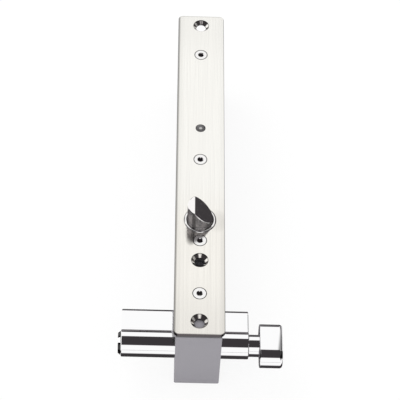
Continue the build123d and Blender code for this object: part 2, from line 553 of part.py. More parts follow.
def status_lens():
    """Low dome over a hollow stem, held by a flange under the case's top wall."""
    shoulder = PLATE_T - LENS_RIM
    rise = LENS_PROUD + LENS_RIM
    sphere_r = (LENS_R**2 + rise**2) / (2 * rise)
    cap = Pos(0, LENS_Y, shoulder + rise - sphere_r) * Sphere(sphere_r)
    over = LENS_R + 1
    lens = rod_z(LENS_R, 0, LENS_Y, -TOP_WALL, shoulder)
    lens += cap & box(-over, over, LENS_Y - over, LENS_Y + over, shoulder - 0.05, shoulder + over)
    lens += rod_z(LENS_FLANGE_R, 0, LENS_Y, -TOP_WALL - LENS_FLANGE_T, -TOP_WALL)
    return lens - rod_z(LED_R + 0.1, 0, LENS_Y, BOARD_Z, LED_TOP_Z + 0.6)


def status_led():
    led = rod_z(LED_R, 0, LENS_Y, BOARD_Z, LED_TOP_Z)
    led = chamfer(led.edges().group_by(Axis.Z)[-1], LED_R / 2)
    return led + rod_z(LED_BASE_R, 0, LENS_Y, BOARD_Z, BOARD_Z + 1)


def terminal_block():
    """Four screw terminals, entries facing the cable end."""
    x, y1 = TERMINAL_W / 2, BOARD_Y1 - 5
    y0, z0 = y1 - TERMINAL_L, BOARD_LOW - TERMINAL_H
    block = box(-x, x, y0, y1, z0, BOARD_LOW)
    for i in range(4):
        mid = TERMINAL_PITCH * (i - 1.5)
        block -= box(mid - 1.5, mid + 1.5, y1 - 3.5, y1 + 1, z0 + 1.4, z0 + 4.6)
        block -= rod_z(1.4, mid, y0 + 2.5, z0 - 1, z0 + 2.5)
    return block


def relay():
    x0, x1 = 1 - BOARD_W / 2, BOARD_W / 2 - 9.5
    return box(x0, x1, RELAY_Y0, RELAY_Y0 + RELAY_L, BOARD_LOW - RELAY_H, BOARD_LOW)


def capacitor():
    can = rod_z(CAP_R, BOARD_W / 2 - CAP_R - 0.9, CAP_Y, BOARD_LOW - CAP_H, BOARD_LOW)
    return chamfer(can.edges().group_by(Axis.Z)[0], 0.6)


def controller_chip():
    y0 = CHIP_Y - CHIP_W / 2
    return box(CHIP_X, CHIP_X + CHIP_W, y0, y0 + CHIP_W, BOARD_LOW - CHIP_T, BOARD_LOW)


def door_sensor():
    x1 = BOARD_W / 2 - 2
    return box(x1 - SENSOR_W, x1, SENSOR_Y0, SENSOR_Y0 + SENSOR_L,
               BOARD_LOW - SENSOR_H, BOARD_LOW)


def cable_gland():
    inside, end = CASE_Y1 - WALL, CASE_Y1
    gland = rod_y(GLAND_R, 0, GLAND_Z, inside - GLAND_LIP_T, end + GLAND_LIP_T)
    for y in (inside - GLAND_LIP_T, end):
        gland += rod_y(GLAND_R + GLAND_LIP, 0, GLAND_Z, y, y + GLAND_LIP_T)
    return gland - rod_y(GLAND_BORE_R, 0, GLAND_Z, inside - 5, end + 5)


PARTS = (
    faceplate, case_body, case_cover, cover_screws, faceplate_screws, cylinder_screw,
    bolt_bush, bolt, bolt_magnet, drive_pin, bolt_spring, guide_bracket, bracket_screws,
    release_lever, lever_cross_pin, pivot_pin, solenoid_frame, solenoid_bobbin,
    solenoid_coil, solenoid_core, solenoid_plunger, solenoid_screws, key_slide,
    slide_studs, euro_cylinder, key_plug, key_pins, driver_pins, pin_springs,
    cylinder_cam, thumbturn_spindle, thumbturn_knob, knob_screw, control_board,
    board_screws, status_lens, status_led, terminal_block, relay, capacitor,
    controller_chip, door_sensor, cable_gland,
)

os.makedirs("parts", exist_ok=True)
for make in PARTS:
    export_step(make(), "parts/" + make.__name__ + ".step")
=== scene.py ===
import math

import bpy
from mathutils import Matrix, Vector


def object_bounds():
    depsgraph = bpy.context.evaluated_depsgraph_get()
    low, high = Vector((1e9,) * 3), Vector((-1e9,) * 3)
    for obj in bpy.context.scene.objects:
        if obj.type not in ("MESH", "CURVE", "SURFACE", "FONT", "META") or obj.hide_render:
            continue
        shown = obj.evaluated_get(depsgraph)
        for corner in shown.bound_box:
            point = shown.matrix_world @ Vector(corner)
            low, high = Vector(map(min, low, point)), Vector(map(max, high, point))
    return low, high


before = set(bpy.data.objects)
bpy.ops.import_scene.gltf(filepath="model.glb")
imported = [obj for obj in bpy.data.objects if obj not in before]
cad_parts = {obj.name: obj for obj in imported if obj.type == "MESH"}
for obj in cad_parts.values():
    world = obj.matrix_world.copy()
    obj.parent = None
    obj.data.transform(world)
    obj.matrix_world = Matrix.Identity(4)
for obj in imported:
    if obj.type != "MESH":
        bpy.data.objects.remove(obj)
cad_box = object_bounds()

# Lengths are in metres and colours are linear. A pair of limits is where a soft edge starts
# and where it is full, and the first may be the larger. A shade or a tone is a factor on the
# base colour.

# Camera: degrees about a point on the faceplate's front, then its distance and shifts
VIEW_PIVOT = Vector((0.0, -0.0025, 0.003))
VIEW_ELEVATION, VIEW_YAW, VIEW_ROLL = 52.294, -1.8046, 0.3382
VIEW_DISTANCE, VIEW_RIGHT, VIEW_UP = 1.100235, 0.000241, 0.022012
LENS_MM, SENSOR_MM = 151.67, 36.0

FLOOR_Z, FLOOR_HALF = cad_box[0][2], 3.0
FLOOR_WHITE, FLOOR_ROUGH, FLOOR_GLOW = (0.98, 0.98, 0.98), 0.9, 0.86
WHITE = (1.0, 1.0, 1.0)

# What polished metal sees: white all round, but black flags in it, and on the floor a black
# card and a soft grey line. A flag is round: its direction, and the degrees from it where its
# edge starts and ends. STRIP are limits of |x| of the direction that cut it to a strip, and
# WHOLE leaves it uncut.
DARK, DARK_TINT = 0.042, (1.0, 0.90, 0.98)
STRIP, WHOLE = (0.14, 0.19), (1.0, 2.0)
FLAGS = (
    ((0.0, -0.182, 0.983), (36.0, 41.0), STRIP), ((0.0, 1.0, 0.0), (13.0, 17.0), STRIP),
    ((0.79, 0.61, 0.0), (18.0, 50.0), WHOLE), ((-0.72, 0.60, 0.35), (10.0, 14.0), WHOLE),
    ((0.62, -0.56, 0.55), (14.0, 33.0), WHOLE), ((-0.62, -0.56, 0.55), (14.0, 33.0), WHOLE),
    ((0.90, -0.12, 0.38), (15.0, 24.0), WHOLE), ((-0.90, -0.12, 0.38), (15.0, 24.0), WHOLE),
)
CARD_X, CARD_NEAR, CARD_FAR = (0.085, 0.11), (-0.160, -0.175), (0.17, 0.20)
LINE_Y, LINE_REACH, LINE_TONE = -0.58, (0.08, 0.14), 0.3
# What is mirrored twice is multiplied and lifted by these, and what is mirrored three times
# is dark. The depths are counts of bounces, halfway between whole ones.
SECOND_FACTOR, SECOND_LIFT = 0.10, 0.07
FIRST_DEPTH, SECOND_DEPTH, THIRD_DEPTH = 0.5, 1.5, 2.5

# Grain: object coordinates are scaled up across the lines. RELIEF is its height.
ALONG_Y, ALONG_Z, RELIEF = (2600.0, 18.0, 2600.0), (2600.0, 2600.0, 18.0), 0.0001
LINE_DETAIL, SPECK_DETAIL = 4.0, 2.0
NOISE_RANGE, TINT_STOPS = (0.3, 0.7), (0.35, 0.65)
GRAIN_ROUGH, GRAIN_CONTRAST = (-0.05, 0.06), 0.04

# Faceplate: colours, grain, and how far up a face points on its top, its underside, its
# level parts, the holes' cones and the grooves round the screws
# The colour of the plate's cut sides is dark, a painted shade.
PLATE_STEEL, PLATE_SHADED_SIDE = (0.945, 0.932, 0.890), (0.16, 0.145, 0.15)
PLATE_ROUGH, PLATE_GRAIN, PLATE_CONTRAST = 0.15, 0.035, 0.03
# Its underside is dark towards the near end, a painted shade, and light further on.
PLATE_UNDER, UNDER_FADE = ((0.05, 0.05, 0.05), (0.70, 0.69, 0.70)), (-0.114, -0.107)
TOP_UP, UNDER_UP, LEVEL_UP = (0.30, 0.65), (-0.6, -0.9), (0.80, 0.97)
CONE_UP, GROOVE_UP = (0.90, 0.80), (0.95, 0.85)
# Its wide brush strokes are faint on the far half, and its near half is a little warmer
STROKES, STROKE_TONES = (750.0, 7.0, 7.0), (0.955, 1.02)
STROKE_FADE, STROKE_FAINT, STROKE_MEAN = (-0.050, 0.005), 0.75, 0.9875
WARM, WARM_FROM = (1.0, 0.985, 0.968), (-0.015, -0.055)
# Its painted shade along Y, deepest at the near end: limits and shade
PLATE_TONES = (((0.0, -0.05), 0.97), ((-0.085, -0.133), 0.90), ((0.085, 0.12), 0.96))
# Its rims get painted shade, with a softer painted shade beside them. On the right both grow to
# the near end.
LEFT_RIM, LEFT_SHADE = (-0.0141, -0.0152), 0.42
LEFT_SOFT, LEFT_SOFT_SHADE = (-0.0105, -0.0145), 0.93
RIGHT_RIM, RIGHT_RIM_FROM, RIGHT_SHADE = (0.0151, 0.0158), (-0.01, -0.10), 0.40
RIGHT_SOFT, RIGHT_SOFT_FROM, RIGHT_SOFT_SHADES = (0.0120, 0.0144), (-0.02, -0.07), (0.97, 0.89)
FAR_RIM, FAR_SHADE = (0.1314, 0.1324), 0.74
# Painted reflections of the bolt, soft dark patches right of it and left in front of it:
# centre, half sizes and shade
BOLT_REFLECTION_PATCHES = (((0.0112, -0.0470), (0.0070, 0.0105), 0.87),
           ((-0.0058, -0.0617), (0.0037, 0.0058), 0.47))
PATCH_EDGE = (1.0, 0.0)
# Its screws' places along Y, and the reach of their grooves along Y and X
SCREWS_Y, SCREW_REACH = (0.0960, 0.0033, -0.0625, -0.1030), (0.0049, 0.0045)
# The grooves round the screw heads get a painted shade.
GROOVE_REACH, GROOVE_SHADE = (0.010, 0.009), 0.22
# Its open countersinks: places along Y, limits between them, and reach from their middle
FAR_HOLE_Y, MIDDLE_HOLE_Y, NEAR_HOLE_Y = 0.1235, -0.0778, -0.1235
TO_FAR_HOLE, TO_NEAR_HOLE, HOLE_REACH = (0.0, 0.0001), (-0.1004, -0.1005), (0.0062, 0.0058)
# Sectors of their cones made matt, which shows as painted highlights, in radians from the far
# side round to the right: start, full, still full, end, and share of matt
HIGHLIGHT_SECTORS = (
    (-1.98, -1.82, -1.72, -1.56, 0.75), (-1.30, -1.08, -0.95, -0.72, 0.42),
    (1.10, 1.25, 1.55, 1.72, 0.92), (1.98, 2.12, 2.30, 2.50, 0.32),
)
# The cones' top lips, by height, get a painted shade.
CONE_GRAIN, CONE_LIP, LIP_SHADE = 0.45, (0.00250, 0.00268), 0.33

# Case: powder coat, how level a wall may be, and the painted shadow line on the walls under the
# plate
CASE_GREY, CASE_ROUGH, CASE_WALL = (0.309, 0.298, 0.325), 0.62, (0.5, 0.2)
PLATE_SHADOW_LINE, PLATE_SHADOW_SHADE = (-0.0044, -0.0032), 0.28

# Bolt: its round wall faces sideways, with painted reflection bands, darker and lighter,
# between limits of the facing's x. The rim of its bevel is a range of the facing's z, as start,
# full, still full and end; its painted shade fades in along X.
BOLT_STEEL, BOLT_GRAIN, BOLT_CONTRAST = (0.95, 0.93, 0.92), 0.12, 0.02
BOLT_AXIS_Y, BOLT_WALL = -0.0463, (0.3, 0.1)
BOLT_REFLECTION_BANDS = (((0.28, 0.60), 0.45), ((-0.30, -0.45), 0.45), ((-0.60, -0.68), 2.2),
              ((-0.84, -0.92), 0.5))
BOLT_FACE_METAL, BOLT_WALL_METAL = 0.99, 0.87
BOLT_RIM_UP, BOLT_RIM_FADE, BOLT_RIM_SHADE = (0.15, 0.30, 0.56, 0.64), (-0.0005, 0.0030), 0.30

# Bush: painted shade on its front. Radians from its front round to the left or the right where
# that shade ends, the bright spot left in the middle of it, and the radius inside which all of
# it is bright
BUSH_STEEL, BUSH_GRAIN, BUSH_SHADE = (0.90, 0.89, 0.88), 0.06, 0.42
BUSH_LEFT, BUSH_RIGHT, BUSH_SPOT = (0.55, 0.80), (0.82, 1.05), (0.30, 0.12)
BUSH_CREST = (0.0093, 0.0090)

# Screws: height of the socket's edge, below which they get painted shade, and the satin of the
# level heads
SCREW_STEEL, SCREW_GRAIN = (0.92, 0.91, 0.90), 0.10
SOCKET_EDGE, SOCKET_SHADE = (0.0024, 0.0028), 0.5
HEAD_UP, HEAD_ROUGH = (0.90, 0.98), 0.15

# Barrel, plug and knob. Bands are start, full, still full and end, in radians from straight
# up towards the front, about the barrel's axis or, on the knob, about a line at KNOB_FRONT_Y.
CHROME, CHROME_GRAIN = (0.97, 0.97, 0.975), 0.02
BARREL_Y, BARREL_Z = -0.1210, -0.0273
PLUG_HEAD, PLUG_CONE = (-0.0476, -0.0479), (-0.90, -0.80)
# The plug's coned head: the stretch spared from its painted shade, the matt stretch that is a
# painted reflection, and the shade.
PLUG_LIGHT, PLUG_REFLECTION, PLUG_SHADE = (0.03, 0.09, 0.55, 0.60), (0.06, 0.09, 0.55, 0.57), 0.06
# The knob's dark band is a painted reflection.
KNOB_FRONT_Y, KNOB_REFLECTION_BAND, KNOB_SHADE = -0.12825, (0.05, 0.10, 0.75, 0.79), 0.06
KNOB_LEFT_END, KNOB_RIGHT_END = (0.0390, 0.0387), (0.0506, 0.0508)
# Above the band the knob's right end gets painted shade along a leaning line, but not on its
# very lip. Both of its lips are a little less metallic.
KNOB_ABOVE, KNOB_FADE, KNOB_LEAN, KNOB_FADE_SHADE = (0.12, 0.02), (0.0496, 0.0516), 0.12, 0.30
KNOB_RIGHT_LIP, KNOB_RIGHT_DULL = (0.0516, 0.0522), 0.28
KNOB_LEFT_LIP, KNOB_LEFT_DULL = (0.0390, 0.0386), 0.15

# Status lens, and the pale spot in its middle, a painted highlight. The spot's coordinates are
# flat, and narrowed along X, which makes it wider than long.
LENS_SMOKE, LENS_ROUGH, LENS_IOR = (0.030, 0.026, 0.028), 0.10, 1.8
LENS_RIPPLE, LENS_RIPPLE_DEPTH = 700.0, 0.12
LENS_HIGHLIGHT_TONE, LENS_HIGHLIGHT_EDGE = (0.44, 0.43, 0.42), (0.0010, 0.0004)
LENS_HIGHLIGHT_CENTRE, LENS_HIGHLIGHT_AXES = (0.0, 0.0288, 0.0), (0.72, 1.0, 0.0)

# Scales, depths and heights of the specks, the wire and the circuit traces
POLISH_SPECKS, COAT_SPECKS, MOULD_SPECKS = 4000.0, 2600.0, 3000.0
COAT_DEPTH, COAT_RELIEF, COAT_CONTRAST = 0.25, 0.00005, 0.03
MOULD_DEPTH, MOULD_RELIEF, MOULD_ROUGH = 0.15, 0.00004, 0.06
WIRE_METAL, WIRE_ROUGH, WIRE_WAVES, WIRE_DEPTH, WIRE_RELIEF = 0.8, 0.3, 700.0, 0.6, 0.0002
MASK_ROUGH, TRACES, TRACE_SHADES = 0.35, 260.0, (1.0, 1.15, 1.6)


class Graph:
    """Nodes of a material or world. Its functions take numbers or sockets alike."""

    def __init__(self, owner):
        owner.use_nodes = True
        self.nodes, self.links = owner.node_tree.nodes, owner.node_tree.links

    def feed(self, socket, value):
        if isinstance(value, bpy.types.NodeSocket):
            self.links.new(value, socket)
        elif socket.type == "RGBA":
            socket.default_value = (*value, 1.0)
        else:
            socket.default_value = value

    def node(self, kind, *values, operation=None, **named):
        """New node; values feed its first inputs, named ones the inputs of that name."""
        node = self.nodes.new("ShaderNode" + kind)
        if operation:
            node.operation = operation
        for socket, value in zip(node.inputs, values):
            self.feed(socket, value)
        for name, value in named.items():
            self.feed(node.inputs[name], value)
        return node

    def math(self, operation, *values):
        return self.node("Math", *values, operation=operation).outputs["Value"]

    def product(self, first, *others):
        for value in others:
            first = self.math("MULTIPLY", first, value)
        return first

    def largest(self, first, *others):
        for value in others:
            first = self.math("MAXIMUM", first, value)
        return first

    def size(self, value):
        return self.math("ABSOLUTE", value)

    def less(self, value, taken):
        return self.math("SUBTRACT", value, taken)

    def vector(self, operation, *values):
        return self.node("VectorMath", *values, operation=operation).outputs["Vector"]

    def measure(self, operation, first, second):
        """A number from two vectors."""
        return self.node("VectorMath", first, second, operation=operation).outputs["Value"]

    def scaled(self, vector, factor):
        node = self.node("VectorMath", vector, operation="SCALE", Scale=factor)
        return node.outputs["Vector"]

    def split(self, vector):
        node = self.node("SeparateXYZ", vector)
        return [node.outputs[axis] for axis in "XYZ"]

    def step(self, value, limits):
        """0 before the first limit, 1 past the second, smooth between."""
        node = self.node("MapRange", value, *limits)
        node.interpolation_type = "SMOOTHSTEP"
        return node.outputs["Result"]

    def between(self, value, start, full, still, end):
        """1 from full to still, fading to 0 at start and end."""
        return self.product(self.step(value, (start, full)), self.step(value, (end, still)))

    def spread(self, value, low, high):
        """Spreads the middle of a noise over low to high."""
        return self.node("MapRange", value, *NOISE_RANGE, low, high).outputs["Result"]

    def mix(self, data_type, share, first, second):
        node = self.nodes.new("ShaderNodeMix")
        node.data_type = data_type
        for name, value in (("Factor", share), ("A", first), ("B", second)):
            self.feed(node.inputs[name], value)
        return node.outputs["Result"]

    def blend(self, share, first, second):
        """First where share is 0, second where it is 1."""
        return self.mix("FLOAT", share, first, second)

    def blend_colour(self, share, first, second):
        return self.mix("RGBA", share, first, second)

    def dim(self, share, low):
        """1 where share is 0, low where it is 1."""
        return self.blend(share, 1.0, low)

    def coords(self):
        """Object coordinates in metres."""
        return self.node("TexCoord").outputs["Object"]

    def place(self):
        return self.split(self.coords())

    def facing(self):
        return self.split(self.node("NewGeometry").outputs["Normal"])

    def noise(self, vector, scale, detail):
        return self.node("TexNoise", Vector=vector, Scale=scale, Detail=detail).outputs["Fac"]

    def lines(self, grain):
        """Noise drawn out into lines."""
        return self.noise(self.vector("MULTIPLY", self.coords(), grain), 1.0, LINE_DETAIL)

    def specks(self, scale):
        return self.noise(self.coords(), scale, SPECK_DETAIL)


class Finish(Graph):
    """One material and its Principled shader."""

    def __init__(self, name, colour, metallic, roughness):
        self.material = bpy.data.materials.new(name)
        super().__init__(self.material)
        self.shader = self.nodes["Principled BSDF"]
        self.put("Base Color", colour)
        self.put("Metallic", metallic)
        self.put("Roughness", roughness)

    def put(self, name, value):
        self.feed(self.shader.inputs[name], value)

    def source(self, name):
        """The socket that feeds an input of the shader."""
        return self.shader.inputs[name].links[0].from_socket

    def scale_base(self, factor):
        self.put("Base Color", self.scaled(self.source("Base Color"), factor))

    def tint(self, value, colour, contrast):
        """Base colour that goes from darker to lighter with value."""
        ramp = self.node("ValToRGB", value)
        factors = 1 - contrast, 1 + contrast
        for stop, position, factor in zip(ramp.color_ramp.elements, TINT_STOPS, factors):
            stop.position = position
            stop.color = (*shade(colour, factor), 1.0)
        self.put("Base Color", ramp.outputs["Color"])

    def bump(self, height, strength, distance=RELIEF):
        self.relief = self.node("Bump", Strength=strength, Distance=distance, Height=height)
        self.put("Normal", self.relief.outputs["Normal"])


def shade(colour, factor):
    return tuple(min(1.0, c * factor) for c in colour)


def grained_metal(name, colour, grain, rough, depth, contrast=GRAIN_CONTRAST):
    """Metal with fine lines; grain is the coordinate scale, large across the lines."""
    metal = Finish(name, colour, 1.0, rough)
    lines = metal.lines(grain)
    if rough:
        metal.put("Roughness", metal.spread(lines, *(rough + off for off in GRAIN_ROUGH)))
    metal.tint(lines, colour, contrast)
    metal.bump(lines, depth)
    return metal


def polished(name, colour, depth):
    """Polished or plated metal; the deeper its fine grain, the duller it is."""
    metal = Finish(name, colour, 1.0, 0.0)
    metal.bump(metal.specks(POLISH_SPECKS), depth)
    return metal


def powder_coat(name, colour, rough):
    coat = Finish(name, colour, 0.0, rough)
    specks = coat.specks(COAT_SPECKS)
    coat.tint(specks, colour, COAT_CONTRAST)
    coat.bump(specks, COAT_DEPTH, COAT_RELIEF)
    return coat


def moulded(name, colour, rough):
    plastic = Finish(name, colour, 0.0, rough)
    specks = plastic.specks(MOULD_SPECKS)
    plastic.put("Roughness", plastic.spread(specks, rough - MOULD_ROUGH, rough + MOULD_ROUGH))
    plastic.bump(specks, MOULD_DEPTH, MOULD_RELIEF)
    return plastic


def windings(name, colour):
    """Enamelled wire laid side by side along Y."""
    wire = Finish(name, colour, WIRE_METAL, WIRE_ROUGH)
    wave = wire.node("TexWave", wire.coords(), WIRE_WAVES)
    wave.bands_direction = "Y"
    wire.bump(wave.outputs["Fac"], WIRE_DEPTH, WIRE_RELIEF)
    return wire


def circuit(name, colour):
    """Solder mask with copper traces showing faintly through it."""
    mask = Finish(name, colour, 0.0, MASK_ROUGH)
    colours = [shade(colour, factor) for factor in TRACE_SHADES]
    brick = mask.node("TexBrick", mask.coords(), *colours, TRACES)
    mask.put("Base Color", brick.outputs["Color"])
    return mask


def stroke_tone(plate, y):
    """Wide brush strokes, faint on the far half."""
    strokes = plate.spread(plate.lines(STROKES), *STROKE_TONES)
    faint = plate.product(plate.step(y, STROKE_FADE), STROKE_FAINT)
    return plate.blend(faint, strokes, STROKE_MEAN)


def rim_painted_shade(plate, x, y):
    """Painted shade on the left, right and far rims, and softer painted shade beside the left
    and the right.
    """
    right_rim = plate.product(plate.step(x, RIGHT_RIM), plate.step(y, RIGHT_RIM_FROM))
    right_soft_shade = plate.blend(plate.step(y, RIGHT_SOFT_FROM), *RIGHT_SOFT_SHADES)
    return plate.product(
        plate.dim(plate.step(x, LEFT_RIM), LEFT_SHADE),
        plate.dim(right_rim, RIGHT_SHADE),
        plate.dim(plate.step(x, LEFT_SOFT), LEFT_SOFT_SHADE),
        plate.dim(plate.step(x, RIGHT_SOFT), right_soft_shade),
        plate.dim(plate.step(y, FAR_RIM), FAR_SHADE),
    )


def groove_painted_shade(plate, x, y, up):
    """Painted shade in the grooves round the screw heads."""
    by_screw = 0.0
    for centre in SCREWS_Y:
        off = plate.size(plate.less(y, centre))
        by_screw = plate.largest(by_screw, plate.step(off, SCREW_REACH))
    middle = plate.step(plate.size(x), GROOVE_REACH)
    groove = plate.product(by_screw, plate.step(up, GROOVE_UP), middle)
    return plate.dim(groove, GROOVE_SHADE)


def painted_bolt_reflection(plate, x, y):
    """Painted reflections of the bolt, soft dark patches beside it."""
    tones = []
    for centre, half, low in BOLT_REFLECTION_PATCHES:
        across = plate.math("DIVIDE", plate.less(x, centre[0]), half[0])
        along = plate.math("DIVIDE", plate.less(y, centre[1]), half[1])
        reach = plate.math("MULTIPLY_ADD", across, across, plate.product(along, along))
        tones.append(plate.dim(plate.step(reach, PATCH_EDGE), low))
    return plate.product(*tones)


def cone_marks(plate, x, y, z, up):
    """Shares of the open countersinks' cones, of their matt sectors, which are painted
    highlights, and of their top lips.
    """
    hole_y = plate.blend(plate.step(y, TO_NEAR_HOLE), MIDDLE_HOLE_Y, NEAR_HOLE_Y)
    hole_y = plate.blend(plate.step(y, TO_FAR_HOLE), hole_y, FAR_HOLE_Y)
    off = plate.less(y, hole_y)
    away = plate.largest(plate.size(x), plate.size(off))
    cone = plate.product(plate.step(up, CONE_UP), plate.step(away, HOLE_REACH))
    turn = plate.math("ARCTAN2", x, off)
    sectors = 0.0
    for *limits, share in HIGHLIGHT_SECTORS:
        sector = plate.product(plate.between(turn, *limits), share)
        sectors = plate.largest(sectors, sector)
    return cone, plate.product(sectors, cone), plate.product(cone, plate.step(z, CONE_LIP))


def plate_finish(name, top, side):
    """Brushed face, turned countersinks, painted shade, highlights and reflections, and a matt
    underside.
    """
    plate = grained_metal(name, top, ALONG_Y, PLATE_ROUGH, PLATE_GRAIN, PLATE_CONTRAST)
    x, y, z = plate.place()
    up = plate.facing()[2]
    cone, sectors, lip = cone_marks(plate, x, y, z, up)
    tone = plate.product(
        stroke_tone(plate, y), rim_painted_shade(plate, x, y), groove_painted_shade(plate, x, y, up),
        *(plate.dim(plate.step(y, limits), low) for limits, low in PLATE_TONES),
        painted_bolt_reflection(plate, x, y), plate.dim(lip, LIP_SHADE),
    )
    # Faces that don't point up take the sides' painted shade.
    base = plate.blend_colour(plate.step(up, TOP_UP), side, plate.source("Base Color"))
    warmth = plate.blend_colour(plate.step(y, WARM_FROM), WHITE, WARM)
    base = plate.scaled(plate.vector("MULTIPLY", base, warmth), tone)
    # The underside's painted shade, dark at its near end.
    beneath = plate.blend_colour(plate.step(y, UNDER_FADE), *PLATE_UNDER)
    under = plate.step(up, UNDER_UP)
    level = plate.step(up, LEVEL_UP)
    plate.put("Base Color", plate.blend_colour(under, base, beneath))
    # The cones' matt sectors show as painted highlights.
    plate.put("Metallic", plate.dim(plate.largest(under, sectors), 0.0))
    plate.put("Roughness", plate.blend(level, 0.0, plate.source("Roughness")))
    plate.feed(plate.relief.inputs["Strength"], plate.blend(cone, PLATE_GRAIN, CONE_GRAIN))
    return plate


def case_finish(name, colour):
    """Powder coat with a thin painted shadow on its walls under the plate."""
    case = powder_coat(name, colour, CASE_ROUGH)
    wall = case.step(case.size(case.facing()[2]), CASE_WALL)
    # Painted shadow on the walls under the plate.
    painted_shadow = case.product(case.step(case.place()[2], PLATE_SHADOW_LINE), wall)
    case.scale_base(case.dim(painted_shadow, PLATE_SHADOW_SHADE))
    return case


def bolt_finish(name, colour):
    """Ground bolt, with painted reflection bands on its round wall and painted shade on its
    bevel's rim.
    """
    bolt = grained_metal(name, colour, ALONG_Z, 0.0, BOLT_GRAIN, BOLT_CONTRAST)
    aside, _, up = bolt.facing()
    wall = bolt.step(bolt.size(up), BOLT_WALL)
    # Painted reflection bands, darker and lighter, on the round wall.
    bands = [bolt.dim(bolt.step(aside, limits), low) for limits, low in BOLT_REFLECTION_BANDS]
    # The bevel's rim gets a painted shade that fades in along X.
    fade = bolt.step(bolt.place()[0], BOLT_RIM_FADE)
    rim = bolt.product(bolt.between(up, *BOLT_RIM_UP), fade)
    tone = bolt.product(bolt.dim(wall, bolt.product(*bands)), bolt.dim(rim, BOLT_RIM_SHADE))
    bolt.scale_base(tone)
    bolt.put("Metallic", bolt.blend(wall, BOLT_FACE_METAL, BOLT_WALL_METAL))
    return bolt


def screw_finish(name, colour):
    """Bright screw with painted shade in its socket. Its level head is satin, its rim and
    socket mirror.
    """
    screw = polished(name, colour, SCREW_GRAIN)
    face = screw.step(screw.place()[2], SOCKET_EDGE)
    screw.put("Base Color", screw.blend_colour(face, shade(colour, SOCKET_SHADE), colour))
    head = screw.product(screw.step(screw.facing()[2], HEAD_UP), face)
    screw.put("Roughness", screw.blend(head, 0.0, HEAD_ROUGH))
    return screw


def bush_finish(name, colour):
    """Polished bush, with painted shade on its rim's front but for a bright spot and its inner
    side.
    """
    bush = polished(name, colour, BUSH_GRAIN)
    x, y, _ = bush.place()
    front = bush.less(BOLT_AXIS_Y, y)
    right = bush.math("ARCTAN2", x, front)
    left = bush.product(right, -1.0)
    radius = bush.math("SQRT", bush.math("MULTIPLY_ADD", front, front, bush.product(x, x)))
    bright = bush.largest(
        bush.step(bush.size(right), BUSH_SPOT), bush.step(left, BUSH_LEFT),
        bush.step(right, BUSH_RIGHT), bush.step(radius, BUSH_CREST),
    )
    bush.put("Base Color", bush.blend_colour(bright, shade(colour, BUSH_SHADE), colour))
    return bush


def turned_forward(finish, y, z, axis_y):
    """Angle about a line along X at axis_y and the barrel's height, from up to the front."""
    return finish.math("ARCTAN2", finish.less(axis_y, y), finish.less(z, BARREL_Z))


def plug_finish(name, colour):
    """Polished plug; its coned head has painted shade but for one light stretch, made matt as a
    painted reflection.
    """
    plug = polished(name, colour, CHROME_GRAIN)
    x, y, z = plug.place()
    cone = plug.product(plug.step(plug.facing()[0], PLUG_CONE), plug.step(x, PLUG_HEAD))
    turn = turned_forward(plug, y, z, BARREL_Y)
    dark = plug.product(cone, plug.less(1.0, plug.between(turn, *PLUG_LIGHT)))
    white = plug.product(cone, plug.between(turn, *PLUG_REFLECTION))
    plug.put("Base Color", plug.scaled(colour, plug.dim(dark, PLUG_SHADE)))
    plug.put("Metallic", plug.dim(white, 0.0))
    return plug


def knob_finish(name, colour):
    """Polished knob: its dark band, a painted reflection, runs out to the rounded ends, and its
    right end gets painted shade.
    """
    knob = polished(name, colour, CHROME_GRAIN)
    x, y, z = knob.place()
    turn = turned_forward(knob, y, z, KNOB_FRONT_Y)
    above = knob.step(turn, KNOB_ABOVE)
    ends = knob.largest(knob.step(x, KNOB_LEFT_END), knob.step(x, KNOB_RIGHT_END))
    band = knob.product(knob.between(turn, *KNOB_REFLECTION_BAND), ends)
    leaning = knob.math("MULTIPLY_ADD", knob.less(y, BARREL_Y), -KNOB_LEAN, x)
    fade = knob.product(knob.step(leaning, KNOB_FADE), above)
    right_lip = knob.product(knob.step(x, KNOB_RIGHT_LIP), above)
    left_lip = knob.less(knob.step(x, KNOB_LEFT_LIP), band)
    fade = knob.blend(right_lip, fade, 0.0)
    tone = knob.product(knob.dim(band, KNOB_SHADE), knob.dim(fade, KNOB_FADE_SHADE))
    knob.put("Base Color", knob.scaled(colour, tone))
    dull = knob.largest(knob.product(left_lip, KNOB_LEFT_DULL),
                        knob.product(right_lip, KNOB_RIGHT_DULL))
    knob.put("Metallic", knob.dim(dull, 0.0))
    return knob


def smoked_lens(name, smoke):
    """Dark lens with a painted highlight, a pale spot in its middle."""
    lens = Finish(name, smoke, 0.0, LENS_ROUGH)
    flat = lens.vector("MULTIPLY", lens.coords(), LENS_HIGHLIGHT_AXES)
    spot = lens.step(lens.measure("DISTANCE", flat, LENS_HIGHLIGHT_CENTRE), LENS_HIGHLIGHT_EDGE)
    lens.put("Base Color", lens.blend_colour(spot, smoke, LENS_HIGHLIGHT_TONE))
    lens.put("IOR", LENS_IOR)
    lens.put("Coat Weight", 1.0)
    lens.put("Coat Roughness", 0.0)
    lens.bump(lens.specks(LENS_RIPPLE), LENS_RIPPLE_DEPTH)
    return lens


